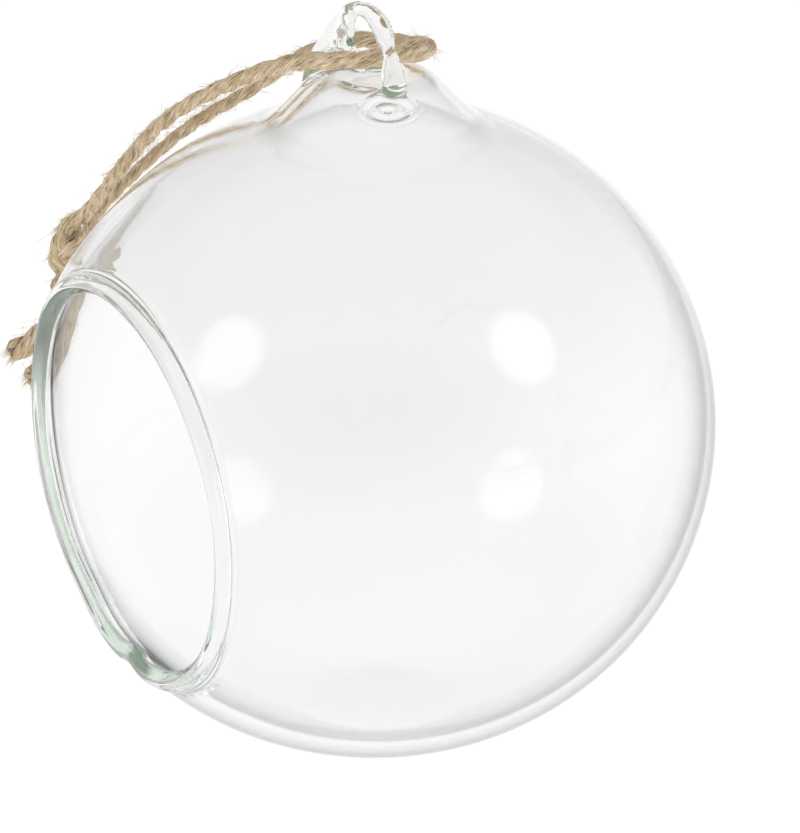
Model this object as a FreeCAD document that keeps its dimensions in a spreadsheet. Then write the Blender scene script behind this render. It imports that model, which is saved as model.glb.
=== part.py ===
"""Hanging glass ball vase, millimetres, +Z up, origin at the middle of the flat foot.

One blown piece of clear glass holds everything rigid: a slightly squashed ball with a
small flat foot, a round mouth in its -Y side with a fire-polished lip, a sealed neck on
top, and a hook drawn out of the neck, arched over and touched down on the crown again.
A loop of jute twine is linked through the hook and knotted at its end.
"""

import FreeCAD, Part
import math
import os

import Sketcher

Vector = FreeCAD.Vector
Rotation = FreeCAD.Rotation

# Driving sizes, in millimetres and degrees
SIZES = {
    # Ball
    "ball_radius": 40.0,
    "foot_flattening": 2.5,
    "upper_arc_inset": 1.7,
    "lower_arc_inset": 1.4,
    "foot_edge_fillet": 16.0,
    # Glass wall, thicker under the ball and towards the mouth
    "wall": 1.45,
    "floor_thickness": 1.6,
    "floor_fillet": 12.0,
    "cavity_lift": 0.35,
    "cavity_shift": 0.35,
    # Neck and its sealed crown
    "crown_rise": 3.7,
    "neck_top_radius": 6.4,
    "neck_slope": 47.0,
    "neck_root_fillet": 7.0,
    "crown_fillet": 4.5,
    "seal_thickness": 4.6,
    "seal_radius": 6.8,
    "seal_fillet": 1.5,
    "neck_bore_fillet": 4.0,
    # Drop of glass left under the sealed crown
    "drop_radius": 3.8,
    "drop_depth": 0.9,
    "drop_x": 0.6,
    "drop_y": 1.1,
    # Mouth and lip, along an axis that starts at the ball's centre
    "mouth_tilt": 3.0,
    "lip_ring_radius": 23.4,
    "lip_bead_radius": 1.5,
    # Hook, in its own upright plane through its root
    "hook_root_x": -5.8,
    "hook_root_y": -2.35,
    "hook_turn": 7.0,
    "hook_root_depth": 4.0,
    "hook_root_bend": 18.0,
    "hook_arch_reach": 6.75,
    "hook_arch_rise": 3.3,
    "hook_arch_radius": 4.6,
    "hook_leg_bend": 14.0,
    "hook_foot_reach": 12.7,
    "hook_foot_depth": 1.6,
    "hook_base_thickness": 7.2,
    "hook_buttress_thickness": 6.2,
    "hook_stem_thickness": 4.3,
    "hook_rise_thickness": 2.7,
    "hook_shoulder_thickness": 2.1,
    "hook_arch_thickness": 1.8,
    "hook_leg_thickness": 2.3,
    "hook_ankle_thickness": 2.8,
    "hook_foot_thickness": 3.4,
    # Jute twine and the knot that ties its ends
    "cord_diameter": 2.2,
    "cord_spacing": 2.5,
    "cord_lead": 4.6,
    "tail_lead": 2.1,
    "knot_x": -37.0,
    "knot_y": -20.7,
    "knot_height": 50.5,
    "knot_lean": 22.0,
    "knot_radius": 3.9,
    "knot_length": 7.6,
    "knot_end_radius": 3.1,
}

# Sizes that follow from the driving ones
DERIVED = {
    "ball_rise": "ball_radius - foot_flattening",
    "upper_arc_radius": "ball_radius - upper_arc_inset",
    "lower_arc_radius": "ball_radius - lower_arc_inset",
    "crown_height": "ball_rise + ball_radius + crown_rise",
    "seal_height": "crown_height - seal_thickness",
    "lip_plane": "sqrt((ball_radius - wall / 2) ^ 2 - lip_ring_radius ^ 2)",
    "mouth_bore_radius": "lip_ring_radius - lip_bead_radius / 2",
    "bore_inner_end": "lip_plane - 2 * lip_bead_radius - 2 * wall",
    "hook_root_height": "crown_height - hook_root_depth",
    "hook_arch_height": "crown_height + hook_arch_rise",
    "hook_foot_height": "crown_height - hook_foot_depth",
}

# Route of the twine between its two leads out of the knot: up over the ball, through the
# hook in front of its root, back round behind the root, and down again
LOOP_ROUTE = [
    (-27.4, -18.8, 64.1), (-20.9, -16.0, 72.1), (-12.5, -11.0, 78.2), (-7.2, -7.7, 81.1),
    (-3.6, -5.9, 82.3), (-1.8, -4.3, 82.6), (-0.8, -2.1, 82.6), (-0.1, 1.1, 82.6),
    (0.4, 5.2, 82.6), (-0.1, 7.1, 82.5), (-1.9, 8.1, 82.2), (-3.8, 7.5, 82.0),
    (-6.0, 4.4, 82.2), (-8.5, 0.6, 82.4), (-10.9, -3.4, 80.5), (-14.7, -8.2, 75.6),
    (-22.1, -12.4, 69.9), (-28.5, -15.9, 63.0),
]
# Routes of the two loose ends below the knot, after their leads
LONG_TAIL_ROUTE = [(-38.6, -24.6, 42.9), (-38.5, -26.2, 41.0), (-38.2, -28.0, 38.6)]
SHORT_TAIL_ROUTE = [(-39.7, -21.4, 42.5), (-38.8, -23.3, 38.9), (-38.0, -24.9, 34.2)]

# How far round a bend an arc reaches into the shorter of its two runs
BEND_SHARE = 0.45

XY, XZ, YZ = "XY_Plane", "XZ_Plane", "YZ_Plane"
START, END, CENTRE = range(1, 4)
LEVEL_AXIS, UPRIGHT_AXIS = range(-1, -3, -1)
ORIGIN_POINT = (LEVEL_AXIS, START)


def make_sheet(doc):
    """The sheet that holds every size under its own name, the derived ones as formulas."""
    sheet = doc.addObject("Spreadsheet::Sheet", "sizes")
    cells = {name: str(value) for name, value in SIZES.items()}
    cells.update((name, "=" + formula) for name, formula in DERIVED.items())
    for row, (name, content) in enumerate(cells.items(), start=1):
        sheet.set(f"A{row}", name)
        sheet.set(f"B{row}", content)
        sheet.setAlias(f"B{row}", name)
    doc.recompute()
    return sheet


def new_body(doc, name):
    body = doc.addObject("PartDesign::Body", name)
    body.Label = name
    return body


def origin_plane(body, role):
    return next(f for f in body.Origin.OriginFeatures if f.Role == role)


def new_sketch(body, name, role, offset=None):
    """A sketch on one of the body's own planes, moved by an offset with bound numbers."""
    sketch = body.newObject("Sketcher::SketchObject", name)
    sketch.AttachmentSupport = (origin_plane(body, role), [""])
    sketch.MapMode = "FlatFace"
    if offset:
        axis = offset.get("axis", Vector(0, 0, 1))
        sketch.AttachmentOffset = FreeCAD.Placement(Vector(), Rotation(axis, 1.0))
        for part in ("x", "y", "z"):
            if part in offset:
                sketch.setExpression("AttachmentOffset.Base." + part, offset[part])
        sketch.setExpression("AttachmentOffset.Rotation.Angle", offset.get("angle", "0 deg"))
    return sketch


def dimension(sketch, kind, refs, name, expression, value):
    """A named dimension that follows an expression; value is its first guess."""
    index = sketch.addConstraint(Sketcher.Constraint(kind, *refs, value))
    sketch.renameConstraint(index, name)
    sketch.setExpression("Constraints." + name, expression)


def place_point(sketch, refs, name, across, up):
    """Fixes a point by its distances from the sketch's origin; each is (expression, value)."""
    dimension(sketch, "DistanceX", (*ORIGIN_POINT, *refs), name + "_across", *across)
    dimension(sketch, "DistanceY", (*ORIGIN_POINT, *refs), name + "_up", *up)


def chain(sketch, count):
    """Joins the end of each of the first pieces to the start of the next, all round."""
    for piece in range(count):
        after = (piece + 1) % count
        sketch.addConstraint(Sketcher.Constraint("Coincident", piece, END, after, START))


def line(x0, y0, x1, y1):
    return Part.LineSegment(Vector(x0, y0, 0), Vector(x1, y1, 0))


def arc(centre_x, centre_y, radius, start, end):
    circle = Part.Circle(Vector(centre_x, centre_y, 0), Vector(0, 0, 1), radius)
    return Part.ArcOfCircle(circle, start, end)


def add_ball_meridian(sketch, form):
    """Half section of a ball with a flat bottom and a coned neck, closed along its axis.

    form gives (expression, value) for each of its sizes: equator, rise, lower and upper
    arc radius, bottom (None where it lies on the level axis), top, neck_top and slope.
    """
    equator, rise = form["equator"][1], form["rise"][1]
    lower, upper = form["lower"][1], form["upper"][1]
    bottom = form["bottom"][1] if form["bottom"] else 0.0
    top, neck_top, slope = form["top"][1], form["neck_top"][1], math.radians(form["slope"][1])
    bottom_angle = math.asin((bottom - rise) / lower)
    bottom_x = equator - lower + lower * math.cos(bottom_angle)
    shoulder_angle = math.radians(75)
    shoulder_x = equator - upper + upper * math.cos(shoulder_angle)
    shoulder_y = rise + upper * math.sin(shoulder_angle)
    sketch.addGeometry([
        line(0, bottom, bottom_x, bottom),
        arc(equator - lower, rise, lower, bottom_angle, 0),
        arc(equator - upper, rise, upper, 0, shoulder_angle),
        line(shoulder_x, shoulder_y, neck_top, top),
        line(neck_top, top, 0, top),
        line(0, top, 0, bottom),
    ], False)
    floor, low_arc, high_arc, neck, crown, axis = range(6)
    chain(sketch, 6)
    for flat in (floor, crown):
        sketch.addConstraint(Sketcher.Constraint("Horizontal", flat))
    sketch.addConstraint(Sketcher.Constraint("PointOnObject", axis, START, UPRIGHT_AXIS))
    sketch.addConstraint(Sketcher.Constraint("PointOnObject", floor, START, UPRIGHT_AXIS))
    if form["bottom"]:
        dimension(sketch, "DistanceY", (*ORIGIN_POINT, floor, START), "bottom", *form["bottom"])
    else:
        sketch.addConstraint(Sketcher.Constraint("PointOnObject", floor, START, LEVEL_AXIS))
    sketch.addConstraint(Sketcher.Constraint("Horizontal", low_arc, CENTRE, low_arc, END))
    sketch.addConstraint(Sketcher.Constraint("Horizontal", high_arc, CENTRE, low_arc, END))
    place_point(sketch, (low_arc, END), "equator", form["equator"], form["rise"])
    dimension(sketch, "Radius", (low_arc,), "lower_arc", *form["lower"])
    dimension(sketch, "Radius", (high_arc,), "upper_arc", *form["upper"])
    place_point(sketch, (crown, START), "neck_top", form["neck_top"], form["top"])
    expression, degrees = form["slope"]
    dimension(sketch, "Angle", (neck,), "neck_side", f"(180 - {expression}) * 1 deg",
              math.radians(180 - degrees))


def revolve(body, name, kind, sketch, axis):
    feature = body.newObject(kind, name)
    feature.Profile = sketch
    feature.ReferenceAxis = (sketch, [axis])
    feature.Angle = 360
    return feature


def ring_edges(shape, low, high, centre_y=0.0):
    """Names of the level circular edges whose centre lies between two heights."""
    names = []
    for number, edge in enumerate(shape.Edges, start=1):
        curve = edge.Curve
        if not isinstance(curve, Part.Circle) or abs(curve.Axis.z) < 0.999:
            continue
        if low < curve.Center.z < high and abs(curve.Center.y - centre_y) < 0.01:
            names.append(f"Edge{number}")
    return names


def fillet(doc, body, name, low, high, radius, centre_y=0.0):
    """Rounds the one circular edge between two heights."""
    doc.recompute()
    base = body.Tip
    edges = ring_edges(base.Shape, low, high, centre_y)
    if len(edges) != 1:
        raise RuntimeError(f"{name}: {len(edges)} edges between {low} and {high}")
    feature = body.newObject("PartDesign::Fillet", name)
    feature.Base = (base, edges)
    feature.setExpression("Radius", radius)
    return feature


def make_glass_ball(doc, size):
    body = new_body(doc, "glass_ball")

    # Outside of the ball, the flat foot and the neck
    outside = new_sketch(body, "outside_meridian", XZ)
    add_ball_meridian(outside, {
        "equator": ("sizes.ball_radius", size.ball_radius),
        "rise": ("sizes.ball_rise", size.ball_rise),
        "lower": ("sizes.lower_arc_radius", size.lower_arc_radius),
        "upper": ("sizes.upper_arc_radius", size.upper_arc_radius),
        "bottom": None,
        "top": ("sizes.crown_height", size.crown_height),
        "neck_top": ("sizes.neck_top_radius", size.neck_top_radius),
        "slope": ("sizes.neck_slope", size.neck_slope),
    })
    revolve(body, "outside", "PartDesign::Revolution", outside, "V_Axis")
    near = 0.1
    fillet(doc, body, "foot_edge", -near, near, "sizes.foot_edge_fillet")
    fillet(doc, body, "crown_edge", size.crown_height - near, size.crown_height + near,
           "sizes.crown_fillet")
    fillet(doc, body, "neck_root", size.ball_rise + near, size.crown_height - size.crown_fillet,
           "sizes.neck_root_fillet")

    # Inside of the ball and of the neck
    inside = new_sketch(body, "inside_meridian", XZ, {"z": "-sizes.cavity_shift"})
    add_ball_meridian(inside, {
        "equator": ("sizes.ball_radius - sizes.wall", size.ball_radius - size.wall),
        "rise": ("sizes.ball_rise + sizes.cavity_lift", size.ball_rise + size.cavity_lift),
        "lower": ("sizes.lower_arc_radius - sizes.wall", size.lower_arc_radius - size.wall),
        "upper": ("sizes.upper_arc_radius - sizes.wall", size.upper_arc_radius - size.wall),
        "bottom": ("sizes.floor_thickness", size.floor_thickness),
        "top": ("sizes.seal_height", size.seal_height),
        "neck_top": ("sizes.seal_radius", size.seal_radius),
        "slope": ("sizes.neck_slope", size.neck_slope),
    })
    revolve(body, "inside", "PartDesign::Groove", inside, "V_Axis")
    shift = size.cavity_shift
    fillet(doc, body, "floor_edge", size.floor_thickness - near, size.floor_thickness + near,
           "sizes.floor_fillet", shift)
    fillet(doc, body, "seal_edge", size.seal_height - near, size.seal_height + near,
           "sizes.seal_fillet", shift)
    fillet(doc, body, "neck_bore_edge", size.ball_rise + size.cavity_lift + near,
           size.seal_height - size.seal_fillet, "sizes.neck_bore_fillet", shift)

    add_seal_drop(body, size)
    add_mouth(body, size)
    add_hook(doc, body, size)
    return body


def add_seal_drop(body, size):
    """The lens of glass that hangs inside, where the crown was sealed."""
    sketch = new_sketch(body, "drop_meridian", XZ, {
        "x": "sizes.drop_x", "y": "sizes.seal_height", "z": "-sizes.drop_y"})
    wide, deep = size.drop_radius, size.drop_depth
    radius = (wide ** 2 + deep ** 2) / (2 * deep)
    edge_angle = -math.acos(wide / radius)
    sketch.addGeometry([
        arc(0, radius - deep, radius, -math.pi / 2, edge_angle),
        line(wide, 0, wide, deep),
        line(wide, deep, 0, deep),
        line(0, deep, 0, -deep),
    ], False)
    lens, side, top, axis = range(4)
    chain(sketch, 4)
    sketch.addConstraint(Sketcher.Constraint("Vertical", side))
    sketch.addConstraint(Sketcher.Constraint("Horizontal", top))
    sketch.addConstraint(Sketcher.Constraint("Vertical", axis))
    sketch.addConstraint(Sketcher.Constraint("PointOnObject", lens, CENTRE, UPRIGHT_AXIS))
    sketch.addConstraint(Sketcher.Constraint("PointOnObject", lens, START, UPRIGHT_AXIS))
    sketch.addConstraint(Sketcher.Constraint("PointOnObject", side, START, LEVEL_AXIS))
    dimension(sketch, "DistanceX", (*ORIGIN_POINT, side, START), "half_width",
              "sizes.drop_radius", wide)
    dimension(sketch, "DistanceY", (lens, START, *ORIGIN_POINT), "hang",
              "sizes.drop_depth", deep)
    dimension(sketch, "DistanceY", (*ORIGIN_POINT, side, END), "bedding",
              "sizes.drop_depth", deep)
    revolve(body, "seal_drop", "PartDesign::Revolution", sketch, "V_Axis")


def mouth_frame():
    """Sketch offset whose level axis runs from the ball's centre out through the mouth."""
    return {"y": "sizes.ball_rise", "angle": "(180 + sizes.mouth_tilt) * 1 deg"}


def add_mouth(body, size):
    """Cuts the cap off the ball, opens the bore and rolls the lip round it."""
    opening = new_sketch(body, "mouth_section", YZ, mouth_frame())
    inner, plane = size.bore_inner_end, size.lip_plane
    outer, clear, bore = 2 * size.ball_radius, size.ball_radius, size.mouth_bore_radius
    corners = [Vector(inner, 0), Vector(outer, 0), Vector(outer, clear), Vector(plane, clear),
               Vector(plane, bore), Vector(inner, bore)]
    after = corners[1:] + corners[:1]
    opening.addGeometry([Part.LineSegment(*ends) for ends in zip(corners, after)], False)
    chain(opening, len(corners))
    foot, far, top, face, wall, back = range(len(corners))
    for level in (foot, top, wall):
        opening.addConstraint(Sketcher.Constraint("Horizontal", level))
    for upright in (far, face, back):
        opening.addConstraint(Sketcher.Constraint("Vertical", upright))
    opening.addConstraint(Sketcher.Constraint("PointOnObject", foot, START, LEVEL_AXIS))
    dimension(opening, "DistanceX", (*ORIGIN_POINT, foot, START), "inner_end",
              "sizes.bore_inner_end", inner)
    dimension(opening, "DistanceX", (*ORIGIN_POINT, foot, END), "outer_end",
              "2 * sizes.ball_radius", outer)
    dimension(opening, "DistanceY", (*ORIGIN_POINT, top, START), "clear_radius",
              "sizes.ball_radius", clear)
    place_point(opening, (wall, START), "bore", ("sizes.lip_plane", plane),
                ("sizes.mouth_bore_radius", bore))
    revolve(body, "mouth", "PartDesign::Groove", opening, "H_Axis")

    bead = new_sketch(body, "lip_section", YZ, mouth_frame())
    middle = Vector(size.lip_plane, size.lip_ring_radius, 0)
    bead.addGeometry(Part.Circle(middle, Vector(0, 0, 1), size.lip_bead_radius), False)
    dimension(bead, "Radius", (0,), "bead", "sizes.lip_bead_radius", size.lip_bead_radius)
    place_point(bead, (0, CENTRE), "ring", ("sizes.lip_plane", size.lip_plane),
                ("sizes.lip_ring_radius", size.lip_ring_radius))
    revolve(body, "lip", "PartDesign::Revolution", bead, "H_Axis")


def hook_frame():
    """Sketch offset for the hook's upright plane, with its origin under the root."""
    return {"x": "sizes.hook_root_x", "z": "-sizes.hook_root_y",
            "axis": Vector(0, 1, 0), "angle": "sizes.hook_turn * 1 deg"}


def enclosing_centre(arch, arch_radius, end, bend, side):
    """Centre of the arc that starts at end and holds the arch inside it, touching it."""
    span = bend - arch_radius
    to_end = end - arch
    distance = to_end.Length
    along = (span ** 2 - bend ** 2 + distance ** 2) / (2 * distance)
    aside = math.sqrt(span ** 2 - along ** 2)
    unit = to_end / distance
    return arch + unit * along + Vector(unit.y, -unit.x, 0) * aside * side


def bearing(centre, point):
    return math.atan2(point.y - centre.y, point.x - centre.x)


def add_hook_spine(body, size):
    """Middle line of the hook: root bend, arch and leg, each tangent to the next."""
    sketch = new_sketch(body, "hook_spine", XZ, hook_frame())
    arch = Vector(size.hook_arch_reach, size.hook_arch_height, 0)
    root = Vector(0, size.hook_root_height, 0)
    foot = Vector(size.hook_foot_reach, size.hook_foot_height, 0)
    radius = size.hook_arch_radius
    root_centre = enclosing_centre(arch, radius, root, size.hook_root_bend, -1)
    leg_centre = enclosing_centre(arch, radius, foot, size.hook_leg_bend, 1)
    shoulder, hip = bearing(root_centre, arch), bearing(leg_centre, arch)
    root_angle = bearing(root_centre, root) % (2 * math.pi)
    sketch.addGeometry([
        arc(root_centre.x, root_centre.y, size.hook_root_bend, shoulder, root_angle),
        arc(arch.x, arch.y, radius, hip, shoulder),
        arc(leg_centre.x, leg_centre.y, size.hook_leg_bend, bearing(leg_centre, foot), hip),
    ], False)
    rise, over, down = range(3)
    sketch.addConstraint(Sketcher.Constraint("Tangent", rise, START, over, END))
    sketch.addConstraint(Sketcher.Constraint("Tangent", over, START, down, END))
    sketch.addConstraint(Sketcher.Constraint("PointOnObject", rise, END, UPRIGHT_AXIS))
    dimension(sketch, "DistanceY", (*ORIGIN_POINT, rise, END), "root_height",
              "sizes.hook_root_height", size.hook_root_height)
    place_point(sketch, (over, CENTRE), "arch", ("sizes.hook_arch_reach", arch.x),
                ("sizes.hook_arch_height", arch.y))
    place_point(sketch, (down, START), "foot", ("sizes.hook_foot_reach", foot.x),
                ("sizes.hook_foot_height", foot.y))
    dimension(sketch, "Radius", (rise,), "root_bend", "sizes.hook_root_bend",
              size.hook_root_bend)
    dimension(sketch, "Radius", (over,), "arch_radius", "sizes.hook_arch_radius", radius)
    dimension(sketch, "Radius", (down,), "leg_bend", "sizes.hook_leg_bend", size.hook_leg_bend)
    return sketch


def arc_name(shape, radius):
    """Name of the arc that has one radius."""
    return next(f"Edge{number}" for number, edge in enumerate(shape.Edges, start=1)
                if math.isclose(edge.Curve.Radius, radius))


def add_hook(doc, body, size):
    """Draws the tapering glass rod along its middle line, both ends sunk in the neck."""
    spine = add_hook_spine(body, size)
    doc.recompute()
    rise = arc_name(spine.Shape, size.hook_root_bend)
    over = arc_name(spine.Shape, size.hook_arch_radius)
    down = arc_name(spine.Shape, size.hook_leg_bend)
    # Each station: arc of the middle line, share of its length, thickness there
    stations = [
        (rise, 0.97, "hook_base_thickness"),
        (rise, 0.72, "hook_buttress_thickness"),
        (rise, 0.48, "hook_stem_thickness"),
        (rise, 0.25, "hook_rise_thickness"),
        (rise, 0.0, "hook_shoulder_thickness"),
        (over, 0.5, "hook_arch_thickness"),
        (down, 1.0, "hook_leg_thickness"),
        (down, 0.35, "hook_ankle_thickness"),
        (down, 0.03, "hook_foot_thickness"),
    ]
    sections = []
    for number, (edge, share, thickness) in enumerate(stations, start=1):
        section = body.newObject("Sketcher::SketchObject", f"hook_section_{number}")
        section.AttachmentSupport = (spine, [edge])
        section.MapMode = "NormalToEdge"
        section.MapPathParameter = share
        radius = getattr(size, thickness) / 2
        section.addGeometry(Part.Circle(Vector(), Vector(0, 0, 1), radius), False)
        section.addConstraint(Sketcher.Constraint("Coincident", 0, CENTRE, *ORIGIN_POINT))
        dimension(section, "Radius", (0,), "radius", f"sizes.{thickness} / 2", radius)
        sections.append(section)
    rod = body.newObject("PartDesign::AdditiveLoft", "hook")
    rod.Profile = sections[0]
    rod.Sections = sections[1:]


def knot_axes(size):
    """Middle of the knot, the way its strands leave it, the way out, and the way across."""
    middle = Vector(size.knot_x, size.knot_y, size.knot_height)
    inward = Vector(-size.knot_x, -size.knot_y, 0).normalize()
    lean = math.radians(size.knot_lean)
    along = inward * math.sin(lean) + Vector(0, 0, math.cos(lean))
    outward = inward * -math.cos(lean) + Vector(0, 0, math.sin(lean))
    return middle, along, outward, along.cross(outward)


def make_knot(doc, size):
    """The overhand knot as a closed barrel with a flat face at each end."""
    body = new_body(doc, "cord_knot")
    sketch = new_sketch(body, "knot_meridian", XZ)
    bulge = size.knot_radius - size.knot_end_radius
    half = size.knot_length / 2
    side_radius = (half ** 2 + bulge ** 2) / (2 * bulge)
    angle = math.asin(half / side_radius)
    sketch.addGeometry([
        arc(size.knot_radius - side_radius, 0, side_radius, -angle, angle),
        line(size.knot_end_radius, half, 0, half),
        line(0, half, 0, -half),
        line(0, -half, size.knot_end_radius, -half),
    ], False)
    side, top, axis, bottom = range(4)
    chain(sketch, 4)
    sketch.addConstraint(Sketcher.Constraint("PointOnObject", side, CENTRE, LEVEL_AXIS))
    sketch.addConstraint(Sketcher.Constraint("PointOnObject", axis, START, UPRIGHT_AXIS))
    sketch.addConstraint(Sketcher.Constraint("PointOnObject", axis, END, UPRIGHT_AXIS))
    for flat in (top, bottom):
        sketch.addConstraint(Sketcher.Constraint("Horizontal", flat))
    place_point(sketch, (top, START), "end", ("sizes.knot_end_radius", size.knot_end_radius),
                ("sizes.knot_length / 2", half))
    dimension(sketch, "Radius", (side,), "side", "((sizes.knot_length / 2) ^ 2"
              " + (sizes.knot_radius - sizes.knot_end_radius) ^ 2)"
              " / (2 * (sizes.knot_radius - sizes.knot_end_radius))", side_radius)
    revolve(body, "knot", "PartDesign::Revolution", sketch, "V_Axis")
    middle, along, outward, across = knot_axes(size)
    body.Placement = FreeCAD.Placement(middle, Rotation(Vector(0, 0, 1), along))
    return body


def bent_path(points):
    """Straight runs joined by tangent arcs, and the arcs' radii."""
    edges, radii = [], []
    here = points[0]
    for before, corner, after in zip(points, points[1:], points[2:]):
        run_in, run_out = corner - before, after - corner
        half_turn = run_in.getAngle(run_out) / 2
        reach = BEND_SHARE * min(run_in.Length, run_out.Length)
        radius = reach / math.tan(half_turn)
        run_in.normalize()
        run_out.normalize()
        first, last = corner - run_in * reach, corner + run_out * reach
        to_centre = (run_out - run_in).normalize()
        middle = corner + to_centre * (radius / math.cos(half_turn) - radius)
        edges += [Part.LineSegment(here, first).toShape(), Part.Arc(first, middle, last).toShape()]
        radii.append(radius)
        here = last
    edges.append(Part.LineSegment(here, points[-1]).toShape())
    return Part.Wire(edges), radii


def make_cord(doc, name, points, diameter):
    """A plain round tube along a route of points."""
    path, radii = bent_path(points)
    heading = points[1] - points[0]
    section = Part.Wire(Part.Circle(points[0], heading, diameter / 2).toShape())
    tube = path.makePipeShell([section], True, False)
    expected = path.Length * math.pi * diameter ** 2 / 4
    print(name, "length", round(path.Length, 1), "volume over section times length",
          round(tube.Volume / expected, 4), "radii", [round(radius, 1) for radius in radii])
    cord = doc.addObject("Part::Feature", name)
    cord.Label = name
    cord.Shape = tube
    cord.Placement = FreeCAD.Placement()
    return cord


def make_cords(doc, size):
    """The loop and the two loose ends, each from a face of the knot."""
    middle, along, outward, across = knot_axes(size)
    top, bottom = middle + along * (size.knot_length / 2), middle - along * (size.knot_length / 2)
    gap = size.cord_spacing / 2
    up, down = along * size.cord_lead, along * -size.tail_lead
    front, back = top + outward * gap, top - outward * gap
    mouth_side, far_side = bottom + across * gap, bottom - across * gap
    loop = [front, front + up, *map(Vector, LOOP_ROUTE), back + up, back]
    long_tail = [mouth_side, mouth_side + down, *map(Vector, LONG_TAIL_ROUTE)]
    short_tail = [far_side, far_side + down, *map(Vector, SHORT_TAIL_ROUTE)]
    routes = {"hanging_cord": loop, "cord_tail_long": long_tail, "cord_tail_short": short_tail}
    return [make_cord(doc, name, route, size.cord_diameter) for name, route in routes.items()]


def check(doc, parts):
    """Stops where an object failed or a sub-part has no sound shape."""
    for item in doc.Objects:
        if "Invalid" in item.State or "Error" in item.State:
            raise RuntimeError(f"{item.Name}: {item.State}")
    for part in parts:
        shape = part.Shape
        if shape.isNull() or not shape.isValid() or not shape.Solids:
            raise RuntimeError(f"{part.Label} has no sound solid")
        centre = shape.Solids[0].CenterOfMass
        print(part.Label, "solids", len(shape.Solids), "volume", round(shape.Volume, 1),
              "centre of mass", [round(value, 2) for value in centre])


def main():
    doc = FreeCAD.newDocument("hanging_ball_vase")
    sheet = make_sheet(doc)
    parts = [make_glass_ball(doc, sheet), make_knot(doc, sheet), *make_cords(doc, sheet)]
    doc.recompute()
    check(doc, parts)
    os.makedirs("parts", exist_ok=True)
    for part in parts:
        part.Shape.exportStep(f"parts/{part.Label}.step")


main()
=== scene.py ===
"""Hanging glass ball vase: blown glass ball with its drawn hook, and its loop of jute twine."""

import math
import random

import bmesh
import bpy
from bpy.props import FloatProperty, FloatVectorProperty, IntProperty, PointerProperty
from mathutils import Matrix, Vector, noise
from mathutils.bvhtree import BVHTree
from mathutils.kdtree import KDTree


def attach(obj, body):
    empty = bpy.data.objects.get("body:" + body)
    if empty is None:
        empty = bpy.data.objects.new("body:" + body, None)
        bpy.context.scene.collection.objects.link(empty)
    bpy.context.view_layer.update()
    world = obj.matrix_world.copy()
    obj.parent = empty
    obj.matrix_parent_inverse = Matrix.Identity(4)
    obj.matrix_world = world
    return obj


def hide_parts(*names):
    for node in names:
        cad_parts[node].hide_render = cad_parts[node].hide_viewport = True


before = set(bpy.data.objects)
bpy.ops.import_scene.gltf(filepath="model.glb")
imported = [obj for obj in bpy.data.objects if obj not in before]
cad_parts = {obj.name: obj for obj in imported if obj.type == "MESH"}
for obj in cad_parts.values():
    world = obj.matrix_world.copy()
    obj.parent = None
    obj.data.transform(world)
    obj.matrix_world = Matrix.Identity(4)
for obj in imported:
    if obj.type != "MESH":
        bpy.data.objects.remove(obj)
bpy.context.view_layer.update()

bl_info = {
    "name": "Hanging Glass Ball Vase",
    "version": (1, 0, 0),
    "blender": (4, 5, 0),
    "location": "View3D > Sidebar > Ball Vase",
    "description": "Builds a hanging glass ball vase and its jute twine around a packed frame",
    "category": "Add Mesh",
}

MM = 0.001

# Glass profiles in millimetres, from the middle of the foot outwards and up. A line gives
# the point that it runs to; an arc gives its centre and the degrees that it turns through.
FLOOR_THICKNESS = 1.6
NECK_FLOOR = 73.5668
BALL_OUTSIDE = (
    ("line", 8.3649, 0.0, 8),
    ("arc", 8.3649, 16.0, 17.95, 6),
    ("arc", 1.4, 37.5, 72.05, 44),
    ("arc", 1.7, 37.5, 70.34, 44),
    ("arc", 16.943, 80.158, -27.34, 9),
)
BALL_INSIDE = (
    ("line", 8.0678, FLOOR_THICKNESS, 8),
    ("arc", 8.0678, 13.6, 15.38, 6),
    ("arc", 1.4, 37.85, 74.62, 44),
    ("arc", 1.7, 37.85, 71.45, 44),
    ("arc", 16.064, 80.654, -28.45, 9),
)
NECK_OUTSIDE = (
    ("line", 14.587, NECK_FLOOR, 12),
    ("arc", 16.943, 80.158, -27.34, 14),
    ("line", 7.7344, 79.769, 14),
    ("arc", 4.4433, 76.7, 47.0, 10),
    ("line", 0.0, 81.2, 14),
)
NECK_INSIDE = (
    ("line", 6.564, 78.678, 26),
    ("arc", 4.4433, 76.7, 47.0, 14),
    ("line", 0.0, 79.6, 24),
)
BALL_CENTRE = Vector((0.0, 0.0, 37.5))
CAVITY_SHIFT = 0.35  # the hollow sits this far off the ball's middle
NECK_SEAM = 75.75  # height at which the neck's skin joins the ball's

# Rise of the hollow under the sealed crown, and the height from which it may be moved
DOME_CENTRE = Vector((0.6, 1.1))
DOME_RADIUS = 5.0
DOME_RISE = 0.6
DOME_FROM = 78.0
# Swirl of the seal drop in the front of the neck: its own axes, half sizes, swell and rings
SWIRL_CENTRE = Vector((6.5, -1.7, 78.46))
SWIRL_ACROSS = Vector((0.477, 0.879, 0.0))
SWIRL_UP = Vector((-0.3293, 0.1787, 0.9272))
SWIRL_SIZE = (3.9, 2.05)
SWIRL_SWELL, SWIRL_RING, SWIRL_RINGS = 0.35, 0.17, 2.0

# Mouth: its axis, the plane where the ball ends, and the lip's bead with its low ridges
MOUTH_AXIS = Vector((0.0, -math.cos(math.radians(3.0)), -math.sin(math.radians(3.0))))
MOUTH_CUT = 30.9
LIP_PLANE = 31.75
LIP_RING = 23.25
LIP_BEAD = 1.17
LIP_START, LIP_END, LIP_STEPS = 100.0, -184.0, 36
LIP_RIDGES, LIP_RIDGE = 5, 0.055
LIP_EDGE = 31.0  # distance along the mouth's axis where the unevenness is full
FLAME_REACH = 20.0  # distance along the mouth's axis from which the flame softened the glass

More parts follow.
